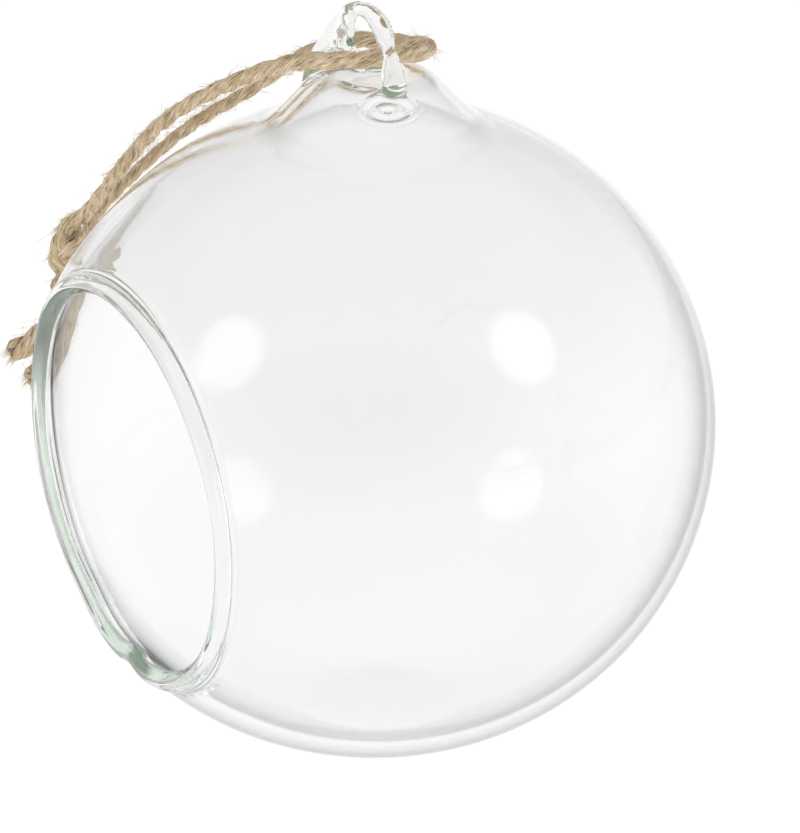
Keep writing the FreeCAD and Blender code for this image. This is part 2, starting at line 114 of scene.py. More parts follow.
# Unevenness of the lip: degrees round the mouth, millimetres that it moves out, its spread
# in degrees, and the distance along the mouth's axis from which it grows
LIP_BUMPS = ((40.0, 1.15, 34.0, 20.0), (142.0, -0.28, 8.0, 27.0), (158.0, 0.2, 9.0, 27.0),
             (174.0, -0.7, 5.0, 28.0), (250.0, -0.25, 25.0, 24.0))

# Hook, in its own upright plane: root bend, arch and leg
HOOK_ROOT = Vector((-5.8, -2.35, 0.0))
HOOK_TURN = math.radians(7.0)
HOOK_START = Vector((0.0, 0.0, 76.4))
HOOK_SPINE = (
    ("line", 0.0, 77.2, 4),
    ("arc", 18.0, 77.22, -32.97, 22),
    ("arc", 6.75, 84.5, -116.0, 22),
    ("arc", -1.3, 79.6465, -22.4, 14),
)
# Unevenness of the hook's surface, and the heights between which it grows
HOOK_WAVE, HOOK_WAVE_HEIGHTS = 0.075, (80.5, 82.5)
# Where hook and neck are smoothed together: height, gap to the hook and gap to the neck
JOINT_TOP, JOINT_HOOK_GAP, JOINT_NECK_GAP = 83.4, 1.5, 1.6
SKIN_SMOOTHING, JOINT_SMOOTHING = 4, 5
# Gaps to the hook and to the neck between which the skin is drawn true to the neck
PULL_HOOK_GAP, PULL_NECK_GAP = (0.5, 1.8), (0.3, 0.6)
# Thickness along the hook: share of its length and diameter
HOOK_THICKNESS = (
    (0.0, 7.4), (0.1, 6.9), (0.2, 5.7), (0.28, 4.4), (0.36, 3.2), (0.45, 2.3), (0.55, 1.8),
    (0.66, 2.1), (0.74, 2.4), (0.80, 2.1), (0.86, 1.6), (0.94, 2.8), (1.0, 3.0),
)

# Twine, in metres: the route of the loop from the knot through the hook and back
LOOP_ROUTE = (
    (-0.0274, -0.0188, 0.0641), (-0.0209, -0.0160, 0.0721), (-0.0125, -0.0110, 0.0782),
    (-0.0072, -0.0077, 0.0811), (-0.0036, -0.0059, 0.0823), (-0.0018, -0.0043, 0.0826),
    (-0.0008, -0.0021, 0.0826), (-0.0001, 0.0011, 0.0826), (0.0004, 0.0052, 0.0826),
    (-0.0001, 0.0071, 0.0825), (-0.0019, 0.0081, 0.0822), (-0.0038, 0.0075, 0.0820),
    (-0.0060, 0.0044, 0.0822), (-0.0085, 0.0006, 0.0824), (-0.0109, -0.0034, 0.0805),
    (-0.0147, -0.0082, 0.0756), (-0.0221, -0.0124, 0.0699), (-0.0285, -0.0159, 0.0630),
)
OUTER_LEAD = ((-0.0351, -0.0201, 0.0555), (-0.0316, -0.0199, 0.0586))
INNER_LEAD = ((-0.0329, -0.0188, 0.0573), (-0.0354, -0.0188, 0.0549))
LONG_TAIL = ((-0.0352, -0.0234, 0.0464), (-0.0338, -0.0247, 0.0444), (-0.0329, -0.0267, 0.0427),
             (-0.0317, -0.0297, 0.0420), (-0.0318, -0.0316, 0.0411))
SHORT_TAIL = ((-0.0360, -0.0235, 0.0440), (-0.0343, -0.0248, 0.0420), (-0.0330, -0.0263, 0.0403),
              (-0.0312, -0.0284, 0.0392), (-0.0296, -0.0302, 0.0384))
# How thick the twine is along its length: share of the length and factor
TWINE_WIDTH = (
    (0.0, 1.35), (0.025, 1.2), (0.06, 1.0), (0.17, 0.97), (0.24, 0.84), (0.36, 0.84), (0.43, 1.0),
    (0.53, 1.04), (0.60, 0.80), (0.66, 0.72), (0.76, 0.72), (0.83, 0.92), (0.93, 1.0), (1.0, 1.05),
)
KNOT_MIDDLE = Vector((-0.0370, -0.0207, 0.0505))
KNOT_LEAN = math.radians(22.0)
KNOT_DROP = 0.0040  # how far below its middle the strands leave the knot
KNOT_SPREAD = 0.0011  # how far to each side they leave it
# Each strand's shift away from the glass, scale and direction in the knot
LONG_STRAND = (0.0006, 0.00116, 1.0)
SHORT_STRAND = (0.0005, 0.00102, -1.0)
LINE_SPACING = 0.00034
# Plies: how many, sides of each, and radius and offset in shares of the twine's diameter
PLIES, PLY_SIDES, PLY_RADIUS, PLY_OFFSET = 3, 14, 0.270, 0.220
BRUSH_HAIRS = 70  # fibres at each cut end

# Stage: the lamps' directions in shares of back, right and up, and their windows' angles
LAMP_SIDES = {"left": (0.57, -0.76, 0.40), "right": (0.54, 0.77, 0.43)}
LAMP_DISTANCE, LAMP_SIZE = 0.7, 0.3
WINDOW_EDGE, WINDOW_CORE = math.radians(13.5), math.radians(9.0)
AIM_RIGHT, AIM_UP = 0.00304, 0.00082  # the picture's middle, from the ball's
TABLE_RADIUS, TABLE_GAP = 6.0, 0.0002
LIGHT_BOUNCES = 256  # light runs round inside the lip many times


# Settings

class VaseGlassSettings(bpy.types.PropertyGroup):
    """Sizes and colour of the blown glass."""
    segments: IntProperty(name="Segments", description="Steps round the ball", default=192,
                          min=48)
    voxel: FloatProperty(name="Hook grain", description="Grid in which hook and neck melt together",
                         default=0.22, min=0.1)
    lip_wave: FloatProperty(name="Lip wave", description="Unevenness of the lip, in millimetres",
                            default=0.16)
    refraction: FloatProperty(name="Refraction", description="Index of refraction", default=1.5)
    tint: FloatVectorProperty(name="Tint", description="Colour that deep glass takes on",
                              subtype="COLOR", default=(0.62, 0.74, 0.62))
    tint_depth: FloatProperty(name="Tint strength", description="Absorption per metre",
                              default=4.5)


class VaseTwineSettings(bpy.types.PropertyGroup):
    """Sizes and colours of the twine."""
    diameter: FloatProperty(name="Diameter", description="Thickness of the twine", unit="LENGTH",
                            default=0.0022)
    lay: FloatProperty(name="Lay", description="Length of one full turn of the plies",
                       unit="LENGTH", default=0.0105)
    pale: FloatVectorProperty(name="Pale fibre", description="Colour of the lightest fibres",
                              subtype="COLOR", default=(0.93, 0.82, 0.62))
    mid: FloatVectorProperty(name="Jute", description="Main colour of the twine",
                             subtype="COLOR", default=(0.62, 0.48, 0.31))
    # Darkest fibre colour, partly painted shade in the grooves between the fibres
    deep: FloatVectorProperty(name="Crease", description="Colour between the fibres",
                              subtype="COLOR", default=(0.13, 0.07, 0.025))
    hairs: IntProperty(name="Hairs", description="Loose fibres along the twine", default=2300)
    seed: IntProperty(name="Seed", description="Seed of the loose fibres", default=11)


class VaseStageSettings(bpy.types.PropertyGroup):
    """Camera, floor and lamps."""
    azimuth: FloatProperty(name="Azimuth", description="Camera's way round the vase",
                           subtype="ANGLE", default=math.radians(61.5))
    elevation: FloatProperty(name="Elevation", description="Camera's height above the horizon",
                             subtype="ANGLE", default=math.radians(22.0))
    distance: FloatProperty(name="Distance", description="From the camera to the ball",
                            unit="LENGTH", default=0.9)
    lens: FloatProperty(name="Lens", description="Focal length in millimetres", default=332.6)
    floor_glow: FloatProperty(name="Floor glow", description="Light that the table gives off",
                              default=0.55)
    sky: FloatProperty(name="Room", description="Brightness of the room overhead", default=0.30)
    lamp_radiance: FloatProperty(name="Lamps", description="Brightness of the two soft lamps",
                                 default=6.0)
    window_radiance: FloatProperty(name="Windows", description="Brightness of their reflections",
                                   default=1.35)


# Mesh helpers

def new_object(name, mesh):
    """An object at the origin, linked to the scene."""
    obj = bpy.data.objects.new(name, mesh)
    bpy.context.scene.collection.objects.link(obj)
    return obj


def mesh_from(obj):
    """The object's final mesh, modifiers and bevel included."""
    graph = bpy.context.evaluated_depsgraph_get()
    return bpy.data.meshes.new_from_object(obj.evaluated_get(graph))


def drop_object(obj):
    """Removes a helper object together with its data."""
    data = obj.data
    bpy.data.objects.remove(obj)
    if isinstance(data, bpy.types.Mesh):
        bpy.data.meshes.remove(data)
    else:
        bpy.data.curves.remove(data)


def smoothstep(low, high, value):
    """0 below low, 1 above high, and a smooth change between them."""
    share = min(max((value - low) / (high - low), 0.0), 1.0)
    return share * share * (3.0 - 2.0 * share)


def blend_table(table, share):
    """Value at a share of the way through a table of (share, value), without a kink."""
    index = sum(share > place for place, _ in table[1:-1])

    def slope(at):
        """Slope of the curve through a row, from the rows beside it."""
        (low, before), (high, after) = table[max(at - 1, 0)], table[min(at + 1, len(table) - 1)]
        return (after - before) / (high - low)

    (low, before), (high, after) = table[index], table[index + 1]
    width = high - low
    t = min(max((share - low) / width, 0.0), 1.0)
    return ((1 + 2 * t) * (1 - t) ** 2 * before + t * t * (3 - 2 * t) * after
            + width * t * (1 - t) * ((1 - t) * slope(index) - t * slope(index + 1)))


def draw_profile(bm, start, strokes):
    """Draws lines and arcs in the upright plane and returns their vertices in order."""
    verts = [bmesh.ops.create_vert(bm, co=start)["vert"][0]]
    for kind, across, up, *rest in strokes:
        if kind == "line":
            steps = rest[0]
            stride = (Vector((across, 0.0, up)) - verts[-1].co) / steps
            for _ in range(steps):
                new = bmesh.ops.extrude_vert_indiv(bm, verts=[verts[-1]])["verts"][0]
                bmesh.ops.translate(bm, vec=stride, verts=[new])
                verts.append(new)
        else:
            degrees, steps = rest
            for _ in range(steps):
                out = bmesh.ops.spin(bm, geom=[verts[-1]], cent=(across, 0.0, up),
                                     axis=(0.0, -1.0, 0.0), angle=math.radians(degrees) / steps,
                                     steps=1)
                verts.append(next(g for g in out["geom_last"] if isinstance(g, bmesh.types.BMVert)))
    return verts


def spin_round(bm, verts, segments):
    """Turns a profile all the way round the upright axis."""
    edges = list(dict.fromkeys(edge for vert in verts for edge in vert.link_edges))
    bmesh.ops.spin(bm, geom=list(verts) + edges, cent=(0.0, 0.0, 0.0), axis=(0.0, 0.0, 1.0),
                   angle=2 * math.pi, steps=segments, use_merge=True)
    bmesh.ops.remove_doubles(bm, verts=bm.verts, dist=1e-4)


def profile_points(start, strokes):
    """Points of a profile as (across, up)."""
    bm = bmesh.new()
    points = [(vert.co.x, vert.co.z) for vert in draw_profile(bm, start, strokes)]
    bm.free()
    return points


def nearest_on_profile(points, across, up):
    """Nearest point of a profile, as (index of its segment, share along it, distance)."""
    best = (0, 0.0, 1e9)
    for index, ((x0, z0), (x1, z1)) in enumerate(zip(points, points[1:])):
        dx, dz = x1 - x0, z1 - z0
        length = dx * dx + dz * dz
        if length < 1e-12:
            continue
        share = min(max(((across - x0) * dx + (up - z0) * dz) / length, 0.0), 1.0)
        gap = math.hypot(x0 + dx * share - across, z0 + dz * share - up)
        if gap < best[2]:
            best = (index, share, gap)
    return best


def at_profile(points, index, share):
    """The point of a profile at a share of the way along one segment."""
    (x0, z0), (x1, z1) = points[index], points[index + 1]
    return x0 + (x1 - x0) * share, z0 + (z1 - z0) * share


def boundary_edges(bm):
    """Edges with a face on one side only."""
    return [edge for edge in bm.edges if len(edge.link_faces) == 1]


def everything(bm):
    """All vertices, edges and faces, as an operator's geometry."""
    return bm.verts[:] + bm.edges[:] + bm.faces[:]


def pour_into(bm, part):
    """Adds one bmesh to another and frees it."""
    mesh = to_mesh(part, "part")
    bm.from_mesh(mesh)
    bpy.data.meshes.remove(mesh)


def to_mesh(bm, name):
    """Turns a bmesh into a mesh and frees it."""
    mesh = bpy.data.meshes.new(name)
    bm.to_mesh(mesh)
    bm.free()
    return mesh


def relax(bm, verts, times):
    """Smooths vertices in every direction."""
    for _ in range(times):
        bmesh.ops.smooth_vert(bm, verts=verts, factor=0.5, use_axis_x=True,
                              use_axis_y=True, use_axis_z=True)


# Material helpers

def new_material(name, values):
    """A material whose shader's own sockets hold the given values."""
    material = bpy.data.materials.new(name)
    material.use_nodes = True
    shader = material.node_tree.nodes["Principled BSDF"]
    for socket, value in values.items():
        shader.inputs[socket].default_value = value
    return material, material.node_tree.nodes, material.node_tree.links, shader


def ramp(nodes, links, value, stops):
    """A colour that follows a value through stops of (position, colour)."""
    node = nodes.new("ShaderNodeValToRGB")
    elements = node.color_ramp.elements
    while len(elements) < len(stops):
        elements.new(0.5)
    for element, (position, color) in zip(elements, stops):
        element.position = position
        element.color = (*color, 1.0)
    links.new(value, node.inputs["Fac"])
    return node.outputs["Color"]


def eased(nodes, links, value, low, high, start=0.0, end=1.0):
    """A smooth change from start to end while a value goes from low to high."""
    node = nodes.new("ShaderNodeMapRange")
    node.interpolation_type = "SMOOTHSTEP"
    limits = {"From Min": low, "From Max": high, "To Min": start, "To Max": end}
    for socket, number in limits.items():
        node.inputs[socket].default_value = number
    links.new(value, node.inputs["Value"])
    return node.outputs["Result"]


def mixed(nodes, links, blend, a, b, factor=1.0):
    """Two colours mixed; b and factor may each be a socket or a plain value."""
    node = nodes.new("ShaderNodeMix")
    node.data_type, node.blend_type = "RGBA", blend
    for socket, source in (("Factor", factor), ("A", a), ("B", b)):
        if isinstance(source, bpy.types.NodeSocket):
            links.new(source, node.inputs[socket])
        else:
            node.inputs[socket].default_value = source
    return node.outputs["Result"]


def noisy(nodes, links, vector, scale, detail=2.0, roughness=0.5):
    """Noise along a vector, between 0 and 1."""
    node = nodes.new("ShaderNodeTexNoise")
    for socket, number in (("Scale", scale), ("Detail", detail), ("Roughness", roughness)):
        node.inputs[socket].default_value = number
    links.new(vector, node.inputs["Vector"])
    return node.outputs["Fac"]


def own_place(nodes):
    """The piece's own coordinates."""
    return nodes.new("ShaderNodeTexCoord").outputs["Object"]


# Glass

def mouth_polar(point):
    """A point as distance along the mouth's axis, unit vector away from it, and radius."""
    offset = point - BALL_CENTRE
    along = offset.dot(MOUTH_AXIS)
    radial = offset - MOUTH_AXIS * along
    return along, radial.normalized(), radial.length


def mouth_angle(point):
    """Angle round the mouth's axis, anticlockwise from straight up, seen from outside."""
    radial = mouth_polar(point)[1]
    side = MOUTH_AXIS.cross(Vector((0.0, 0.0, 1.0))).normalized()
    return math.atan2(radial.dot(side), radial.z)


def build_ball_shell(bm, settings):
    """Outside and inside of the ball, cut at the mouth and joined by the rolled lip."""
    outside = draw_profile(bm, (0.0, 0.0, 0.0), BALL_OUTSIDE)
    outer_points = [(vert.co.x, vert.co.z) for vert in outside]
    inner_points = profile_points((0.0, 0.0, FLOOR_THICKNESS), BALL_INSIDE)
    spin_round(bm, outside, settings.segments)
    bmesh.ops.bisect_plane(bm, geom=everything(bm), dist=1e-5,
                           plane_co=BALL_CENTRE + MOUTH_AXIS * MOUTH_CUT, plane_no=MOUTH_AXIS,
                           clear_outer=True)
    bmesh.ops.recalc_face_normals(bm, faces=bm.faces)
    if max(bm.faces, key=lambda face: face.calc_center_median().x).normal.x < 0:
        bmesh.ops.reverse_faces(bm, faces=bm.faces)

    # The inside is the same net, moved to the inside profile
    copy = bmesh.ops.duplicate(bm, geom=everything(bm))
    inner_faces = [g for g in copy["geom"] if isinstance(g, bmesh.types.BMFace)]
    inner_verts = [g for g in copy["geom"] if isinstance(g, bmesh.types.BMVert)]
    bmesh.ops.reverse_faces(bm, faces=inner_faces)
    for vert in inner_verts:
        radius = math.hypot(vert.co.x, vert.co.y)
        index, share, _ = nearest_on_profile(outer_points, radius, vert.co.z)
        across, up = at_profile(inner_points, index, share)
        factor = across / radius if radius > 1e-6 else 0.0
        vert.co = (vert.co.x * factor, vert.co.y * factor + CAVITY_SHIFT, up)

    inner_set = set(inner_verts)
    mouth_rim = [e for e in boundary_edges(bm)
                 if mouth_polar(e.verts[0].co)[0] > MOUTH_CUT - 3.0]
    outer_rim = [e for e in mouth_rim if e.verts[0] not in inner_set]
    inner_ring = {v for e in mouth_rim for v in e.verts if v in inner_set}
    roll_lip(bm, outer_rim, inner_ring, settings)
    unsettle_mouth(bm)


def lip_wobble(angle, seed):
    """Slow unevenness round the lip, between about -1 and 1."""
    return (math.sin(2 * angle + seed) + 0.6 * math.sin(3 * angle + 2.1 * seed)
            + 0.35 * math.sin(7 * angle + 0.7 * seed)) / 1.6


def unsettle_mouth(bm):
    """Pushes the glass round the mouth in and out, as the flame left it."""
    for vert in bm.verts:
        along, radial, _ = mouth_polar(vert.co)
        if along < FLAME_REACH:
            continue
        angle = math.degrees(mouth_angle(vert.co)) % 360.0
        for middle, height, width, reach in LIP_BUMPS:
            gap = (angle - middle + 180.0) % 360.0 - 180.0
            near = smoothstep(reach, LIP_EDGE, along)
            vert.co += radial * height * near * math.exp(-(gap / width) ** 2)


def roll_lip(bm, outer_rim, inner_ring, settings):
    """Extrudes the ball's edge over a round bead and welds it to the inside."""
    edges = outer_rim
    target = sorted(inner_ring, key=lambda vert: mouth_angle(vert.co))
    for step in range(LIP_STEPS + 2):
        out = bmesh.ops.extrude_edge_only(bm, edges=edges)["geom"]
        ring = [g for g in out if isinstance(g, bmesh.types.BMVert)]
        edges = [g for g in out if isinstance(g, bmesh.types.BMEdge)]
        if step == LIP_STEPS + 1:
            ring.sort(key=lambda vert: mouth_angle(vert.co))
            for vert, goal in zip(ring, target):
                vert.co = goal.co
            bmesh.ops.remove_doubles(bm, verts=ring + target, dist=1e-4)
            break
        share = step / LIP_STEPS
        turn = math.radians(LIP_START + (LIP_END - LIP_START) * share)
        for vert in ring:
            radial = mouth_polar(vert.co)[1]
            angle = mouth_angle(vert.co)
            fade = math.sin(math.pi * share)
            bead = LIP_BEAD + settings.lip_wave * lip_wobble(angle, 1.3) * fade
            bead += LIP_RIDGE * fade * math.cos(LIP_RIDGES * turn + 0.8 + 0.5 * math.sin(angle))
            plane = LIP_PLANE + settings.lip_wave * lip_wobble(angle, 4.2) * fade
            vert.co = (BALL_CENTRE + MOUTH_AXIS * (plane + bead * math.cos(turn))
                       + radial * (LIP_RING + bead * math.sin(turn)))


def build_neck_inside(bm, settings):
    """Closed end of the neck's hollow, with its dome and the swirl in its front."""
    part = bmesh.new()
    start = profile_points((0.0, 0.0, FLOOR_THICKNESS), BALL_INSIDE)[-1]
    verts = draw_profile(part, (start[0], 0.0, start[1]), NECK_INSIDE)
    spin_round(part, verts, settings.segments)
    bmesh.ops.translate(part, vec=(0.0, CAVITY_SHIFT, 0.0), verts=part.verts)
    for vert in part.verts:
        gap = (vert.co.xy - DOME_CENTRE).length
        if gap < DOME_RADIUS and vert.co.z > DOME_FROM:
            vert.co.z += DOME_RISE * (1.0 - smoothstep(0.0, DOME_RADIUS, gap))
    out = SWIRL_CENTRE.xy.normalized()
    slope = Vector((out.x, out.y, 1.0)).normalized()
    for vert in part.verts:
        offset = vert.co - SWIRL_CENTRE
        gap = math.hypot(offset.dot(SWIRL_ACROSS) / SWIRL_SIZE[0],
                         offset.dot(SWIRL_UP) / SWIRL_SIZE[1])
        if gap < 1.0 and vert.co.xy.dot(out) > 2.0:
            rings = (SWIRL_SWELL * (1.0 - gap * gap)
                     + SWIRL_RING * math.cos(gap * math.tau * SWIRL_RINGS))
            vert.co -= slope * rings * smoothstep(1.0, 0.75, gap)
    bmesh.ops.recalc_face_normals(part, faces=part.faces)
    top = max(part.faces, key=lambda face: face.calc_center_median().z)
    if top.normal.z > 0:
        bmesh.ops.reverse_faces(part, faces=part.faces)
    pour_into(bm, part)


def hook_spine():
    """Points of the hook's middle line with the radius at each."""
    bm = bmesh.new()
    verts = draw_profile(bm, HOOK_START, HOOK_SPINE)
    bmesh.ops.rotate(bm, cent=(0.0, 0.0, 0.0), matrix=Matrix.Rotation(HOOK_TURN, 3, "Z"),
                     verts=bm.verts)
    bmesh.ops.translate(bm, vec=HOOK_ROOT, verts=bm.verts)
    points = [vert.co.copy() for vert in verts]
    bm.free()
    lengths = [0.0]
    for before, after in zip(points, points[1:]):
        lengths.append(lengths[-1] + (after - before).length)
    return [(point, blend_table(HOOK_THICKNESS, length / lengths[-1]) / 2)
            for point, length in zip(points, lengths)]


def poly_curve(name, points, radii, depth, resolution):
    """A curve object of straight runs through many points, with a round bevel."""
    curve = bpy.data.curves.new(name, "CURVE")
    curve.dimensions = "3D"
    curve.bevel_depth = depth
    curve.bevel_resolution = resolution
    curve.use_fill_caps = True
    spline = curve.splines.new("POLY")
    spline.points.add(len(points) - 1)
    for place, point, radius in zip(spline.points, points, radii):
        place.co = (*point, 1.0)
        place.radius = radius
    return new_object(name, curve)


def melted_neck(spine, settings):
    """Neck, crown and hook melted into one skin."""
    solid = bmesh.new()
    verts = draw_profile(solid, (0.0, 0.0, NECK_FLOOR), NECK_OUTSIDE)
    spin_round(solid, verts, settings.segments)
    bmesh.ops.recalc_face_normals(solid, faces=solid.faces)
    points, radii = zip(*spine)
    rod = poly_curve("hook_rod", points, radii, 1.0, 8)
    rod_mesh = mesh_from(rod)
    drop_object(rod)
    rod_part = bmesh.new()
    rod_part.from_mesh(rod_mesh)
    bpy.data.meshes.remove(rod_mesh)
    foot_end, foot_radius = spine[-1]
    bmesh.ops.create_icosphere(rod_part, subdivisions=4, radius=foot_radius,
                               matrix=Matrix.Translation(foot_end))
    bmesh.ops.recalc_face_normals(rod_part, faces=rod_part.faces)
    pour_into(solid, rod_part)

    blank = new_object("neck_blank", to_mesh(solid, "neck_blank"))
    melt = blank.modifiers.new("melt", "REMESH")
    melt.mode = "VOXEL"
    melt.voxel_size = settings.voxel
    melted = mesh_from(blank)
    drop_object(blank)
    skin = bmesh.new()
    skin.from_mesh(melted)
    bpy.data.meshes.remove(melted)
    return skin


def build_neck_outside(bm, settings):
    """The melted skin, smoothed where hook and neck meet and true to the neck elsewhere."""
    spine = hook_spine()
    skin = melted_neck(spine, settings)
    tree = KDTree(len(spine))
    for index, (point, _) in enumerate(spine):
        tree.insert(point, index)
    tree.balance()
    profile = profile_points((0.0, 0.0, NECK_FLOOR), NECK_OUTSIDE)

    def hook_gap(vert):
        """Distance from the hook's surface."""
        _, index, distance = tree.find(vert.co)
        return distance - spine[index][1]

    def on_neck(vert):
        """Nearest place on the neck's profile."""
        return nearest_on_profile(profile, math.hypot(vert.co.x, vert.co.y), vert.co.z)

    everywhere = skin.verts[:]
    relax(skin, everywhere, SKIN_SMOOTHING)
    joint = [vert for vert in everywhere if vert.co.z < JOINT_TOP
             and hook_gap(vert) < JOINT_HOOK_GAP and on_neck(vert)[2] < JOINT_NECK_GAP]
    relax(skin, joint, JOINT_SMOOTHING)
    for vert in everywhere:
        radius = math.hypot(vert.co.x, vert.co.y)
        index, share, gap = on_neck(vert)
        pull = (smoothstep(*PULL_HOOK_GAP, hook_gap(vert))
                * (1.0 - smoothstep(*PULL_NECK_GAP, gap)))
        if pull > 0.0 and radius > 1e-6:
            across, up = at_profile(profile, index, share)
            goal = Vector((vert.co.x / radius * across, vert.co.y / radius * across, up))
            vert.co = vert.co.lerp(goal, pull)
    skin.normal_update()
    for vert in everywhere:
        near = (smoothstep(*HOOK_WAVE_HEIGHTS, vert.co.z)
                * (1.0 - smoothstep(0.1, 1.0, hook_gap(vert))))
        run = noise.noise(Vector((vert.co.x * 0.9, vert.co.y * 0.9, vert.co.z * 0.4)))
        vert.co += vert.normal * HOOK_WAVE * near * run
    bmesh.ops.bisect_plane(skin, geom=everything(skin), dist=1e-4,
                           plane_co=(0.0, 0.0, NECK_SEAM), plane_no=(0.0, 0.0, 1.0),
                           clear_inner=True)
    bmesh.ops.remove_doubles(skin, verts=[v for v in skin.verts if v.is_boundary], dist=0.06)
    pour_into(bm, skin)


def close_neck_seams(bm):
    """Joins ball to neck, inside by merging and outside by a narrow band."""
    bmesh.ops.remove_doubles(bm, verts=[v for v in bm.verts if v.is_boundary], dist=2e-3)
    bmesh.ops.bridge_loops(bm, edges=boundary_edges(bm))


def glass_material(settings):
    """Clear glass with painted shade: darker where it is seen edge on and a little darker at low X,
    fading to an even grey up the neck, and greenish where it is deep.
    """
    material, nodes, links, shader = new_material("clear blown glass", {
        "Base Color": (0.975, 0.98, 0.978, 1.0), "Roughness": 0.0,
        "IOR": settings.refraction, "Transmission Weight": 1.0})
    # Painted shade: the glass's colour runs from pale grey to nearly black as its face turns edge
    # on.
    slant = nodes.new("ShaderNodeLayerWeight")
    slant.inputs["Blend"].default_value = 0.5
    edge = ramp(nodes, links, slant.outputs["Facing"],
                [(0.42, (0.935, 0.938, 0.936)), (0.62, (0.88, 0.89, 0.88)),
                 (0.74, (0.55, 0.57, 0.56)), (0.86, (0.05, 0.055, 0.05))])
    split = nodes.new("ShaderNodeSeparateXYZ")
    links.new(own_place(nodes), split.inputs["Vector"])
    # Up the neck the painted edge shade gives way to an even grey.
    neck = eased(nodes, links, split.outputs["Z"], 0.040, 0.074, 0.0, 0.85)
    # Painted shade: the glass's colour is a little darker where X is below -32 mm.
    side = eased(nodes, links, split.outputs["X"], -0.032, -0.014, 0.965, 1.0)
    painted_glass_shade = mixed(nodes, links, "MULTIPLY", edge, side)
    clear = mixed(nodes, links, "MIX", painted_glass_shade, (0.955, 0.955, 0.955, 1.0), neck)
    links.new(clear, shader.inputs["Base Color"])
    depth = nodes.new("ShaderNodeVolumeAbsorption")
    depth.inputs["Color"].default_value = (*settings.tint, 1.0)
    depth.inputs["Density"].default_value = settings.tint_depth
    links.new(depth.outputs["Volume"], nodes["Material Output"].inputs["Volume"])
    return material


class VASE_OT_blow_glass(bpy.types.Operator):
    """Blow the glass ball with its lip, neck and hook"""
    bl_idname = "vase.blow_glass"
    bl_label = "Blow Glass"

    def execute(self, context):
        settings = context.scene.vase_glass
        bm = bmesh.new()
        build_ball_shell(bm, settings)
        build_neck_inside(bm, settings)
        build_neck_outside(bm, settings)
        close_neck_seams(bm)
        holes = boundary_edges(bm)
        if holes:
            raise RuntimeError(f"the glass has {len(holes)} open edges")
        for face in bm.faces:
            face.smooth = True
        bmesh.ops.scale(bm, vec=(MM, MM, MM), verts=bm.verts)
        ball = new_object("glass_ball_blown", to_mesh(bm, "glass_ball_blown"))
        ball.data.materials.append(glass_material(settings))
        ball.visible_shadow = False
        ball.visible_diffuse = False
        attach(ball, "root")
        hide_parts("glass_ball")
        return {"FINISHED"}


# Twine

def knot_frame():
    """Directions at the knot: along the strands, away from the glass, and across."""
    inward = Vector((-KNOT_MIDDLE.x, -KNOT_MIDDLE.y, 0.0)).normalized()
    along = inward * math.sin(KNOT_LEAN) + Vector((0.0, 0.0, math.cos(KNOT_LEAN)))
    outward = inward * -math.cos(KNOT_LEAN) + Vector((0.0, 0.0, math.sin(KNOT_LEAN)))
    return along, outward, along.cross(outward)


def overhand(shift, scale, lean, steps=17, reach=1.95):
    """One strand's way up through an overhand knot, drawn tight against the glass."""
    along, outward, across = knot_frame()
    points = []
    for step in range(steps):
        t = -reach + 2 * reach * step / (steps - 1)
        up, over = t ** 3 - 3 * t, t ** 4 - 4 * t * t + 2.0
        out = lean * (t ** 5 / 5 - 2 * t) - 0.12 * up * up
        points.append(KNOT_MIDDLE + (along * up + across * over + outward * out) * scale
                      + outward * shift)
    return points


def twine_route():
    """Control points of the twine, from the tip of one loose end to the tip of the other."""
    along, _, across = knot_frame()
    bottom = KNOT_MIDDLE - along * KNOT_DROP
    side = across * KNOT_SPREAD
    outer, inner, long_tail, short_tail = (
        [Vector(p) for p in part] for part in (OUTER_LEAD, INNER_LEAD, LONG_TAIL, SHORT_TAIL))
    return (long_tail[::-1] + [bottom + side] + overhand(*LONG_STRAND) + outer
            + [Vector(p) for p in LOOP_ROUTE] + inner
            + overhand(*SHORT_STRAND)[::-1] + [bottom - side] + short_tail)


def smooth_line(points):
    """Close points along the smooth spline that a route's points control."""
    curve = bpy.data.curves.new("route", "CURVE")
    curve.dimensions = "3D"
    curve.resolution_u = 12
    spline = curve.splines.new("NURBS")
    spline.points.add(len(points) - 1)
    for place, point in zip(spline.points, points):
        place.co = (*point, 1.0)
    spline.order_u = 3
    spline.use_endpoint_u = True
    route = new_object("route", curve)
    mesh = mesh_from(route)
    line = [vert.co.copy() for vert in mesh.vertices]
    bpy.data.meshes.remove(mesh)
    drop_object(route)
    return line


def even_line(line, spacing):
    """The same line with points at an even spacing, and its length."""
    total = sum((b - a).length for a, b in zip(line, line[1:]))
    count = max(2, round(total / spacing))
    step, walked, index = total / count, 0.0, 0
    points = [line[0].copy()]
    for number in range(1, count):
        goal = step * number
        while walked + (line[index + 1] - line[index]).length < goal:
            walked += (line[index + 1] - line[index]).length
            index += 1
        run = line[index + 1] - line[index]
        points.append(line[index] + run * ((goal - walked) / run.length))
    points.append(line[-1].copy())
    return points, total


def line_frames(points):
    """Tangent, normal and binormal along a line, turned as little as possible."""
    frames = []
    normal = Vector((0.0, 0.0, 1.0))
    for index in range(len(points)):
        before, after = points[max(index - 1, 0)], points[min(index + 1, len(points) - 1)]
        tangent = (after - before).normalized()
        normal = (normal - tangent * normal.dot(tangent)).normalized()
        frames.append((tangent, normal, tangent.cross(normal)))
    return frames


